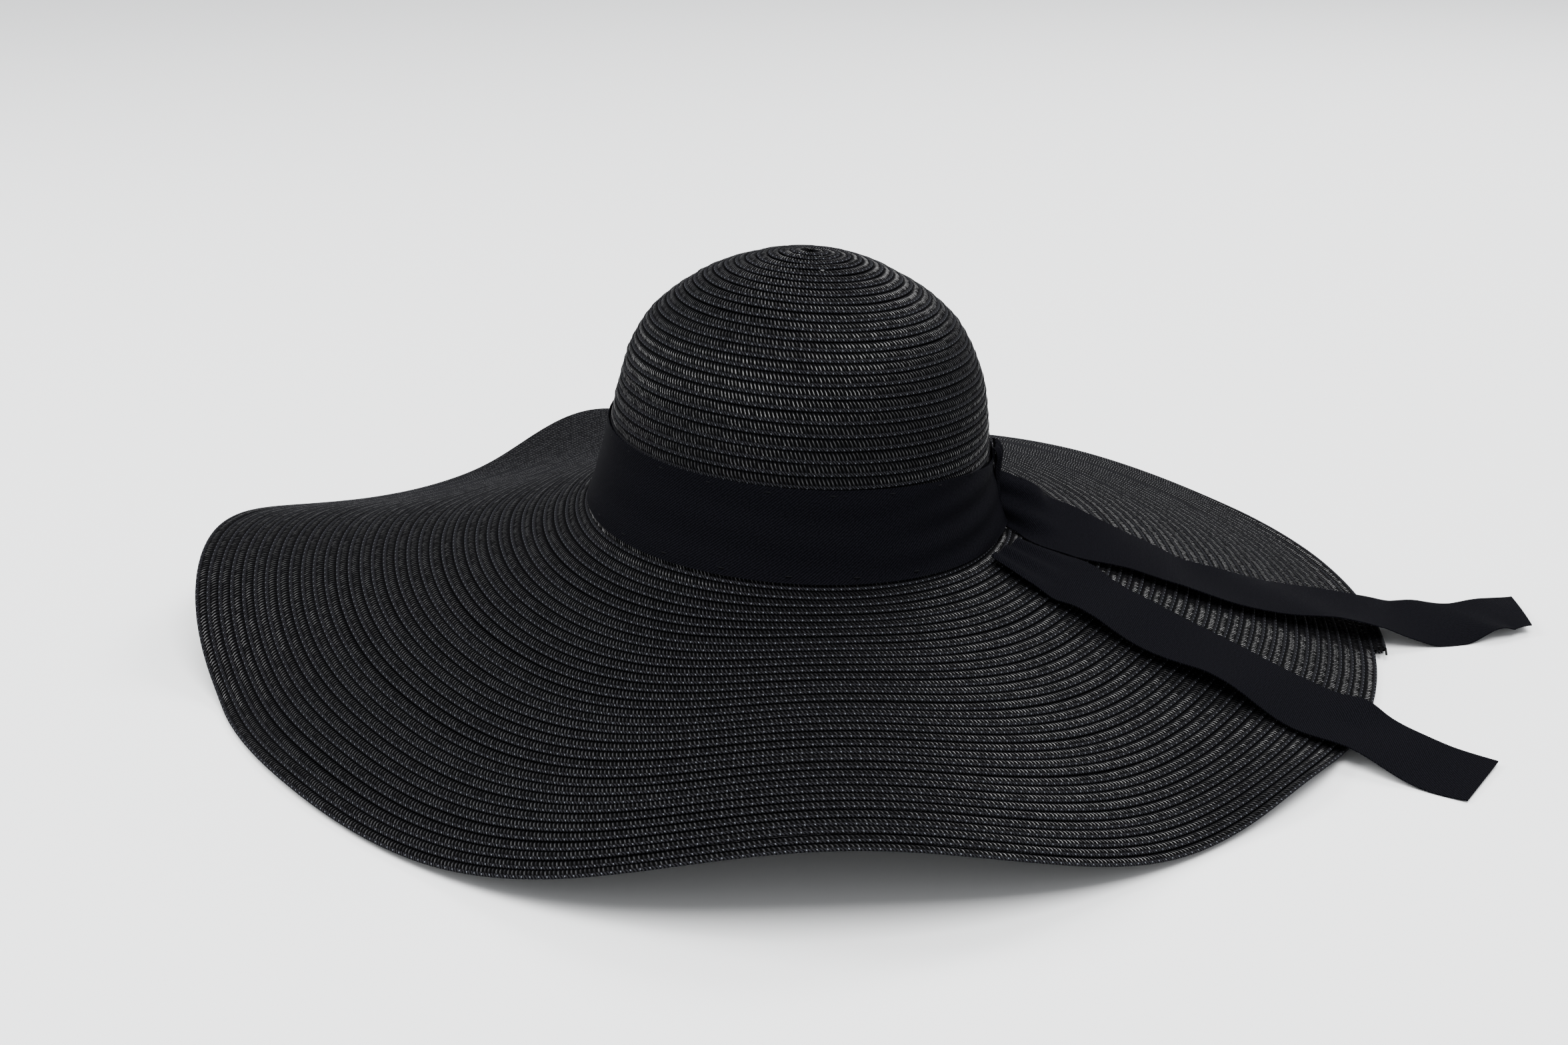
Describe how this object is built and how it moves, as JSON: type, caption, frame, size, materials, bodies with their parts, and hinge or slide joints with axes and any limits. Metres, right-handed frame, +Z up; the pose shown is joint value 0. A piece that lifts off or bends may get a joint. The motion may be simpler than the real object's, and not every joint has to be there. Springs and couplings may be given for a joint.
{
  "type": "straw sun hat",
  "caption": "Wide-brimmed sun hat of sewn black straw braid with a softly folded brim, a crown ribbon with loose ends and a sweatband.",
  "frame": {"origin": "middle of the hat's bounding box, on the table that the brim rests on", "axes": "+Z up through the crown, +X toward the ribbon's loose ends, Y along the head's long axis"},
  "size_m": [0.602, 0.5552, 0.1713],
  "materials": {
    "straw_braid": "sewn paper-straw braid, dyed black, faint gloss on each strand",
    "ribbon": "matte black ribbed ribbon with a faint twill grain",
    "sweatband_cloth": "soft black grosgrain",
    "sewing_thread": "black sewing thread",
    "label_satin": "blank white satin label tape"
  },
  "bodies": {
    "hat": {"crown_tip_coil": "straw_braid", "crown_top_braid": "straw_braid", "crown_shoulder_braid": "straw_braid", "crown_side_braid": "straw_braid", "crown_band_seat_braid": "straw_braid", "brim_inner_braid": "straw_braid", "brim_middle_braid": "straw_braid", "brim_outer_braid": "straw_braid", "brim_edge_row": "straw_braid", "braid_end_lap": "straw_braid", "ribbon_band": "ribbon", "ribbon_knot": "ribbon", "ribbon_tail_rear_root": "ribbon", "ribbon_tail_front_root": "ribbon", "sweatband": "sweatband_cloth", "sweatband_join_tab": "sweatband_cloth", "ribbon_upper_thread": "sewing_thread", "ribbon_lower_thread": "sewing_thread", "sweatband_hem_thread": "sewing_thread", "care_label_seam": "sewing_thread", "size_label": "label_satin"},
    "tail_rear": {"ribbon_tail_rear": "ribbon"},
    "tail_front": {"ribbon_tail_front": "ribbon"},
    "care_label": {"care_label": "label_satin"}
  },
  "joints": [
    {"name": "tail_rear_lift", "type": "hinge", "parent": "hat", "child": "tail_rear", "pos_m": [0.08473, -0.0138, 0.05027], "axis": [-0.0248, -0.9656, -0.2588], "range_deg": [0, 70]},
    {"name": "tail_front_lift", "type": "hinge", "parent": "hat", "child": "tail_front", "pos_m": [0.06673, -0.0538, 0.04977], "axis": [-0.5, -0.866, 0], "range_deg": [0, 70]},
    {"name": "care_label_swing", "type": "hinge", "parent": "hat", "child": "care_label", "pos_m": [-0.00845, 0.08989, 0.08269], "axis": [-0.9511, 0.309, 0], "range_deg": [0, 80]}
  ]
}
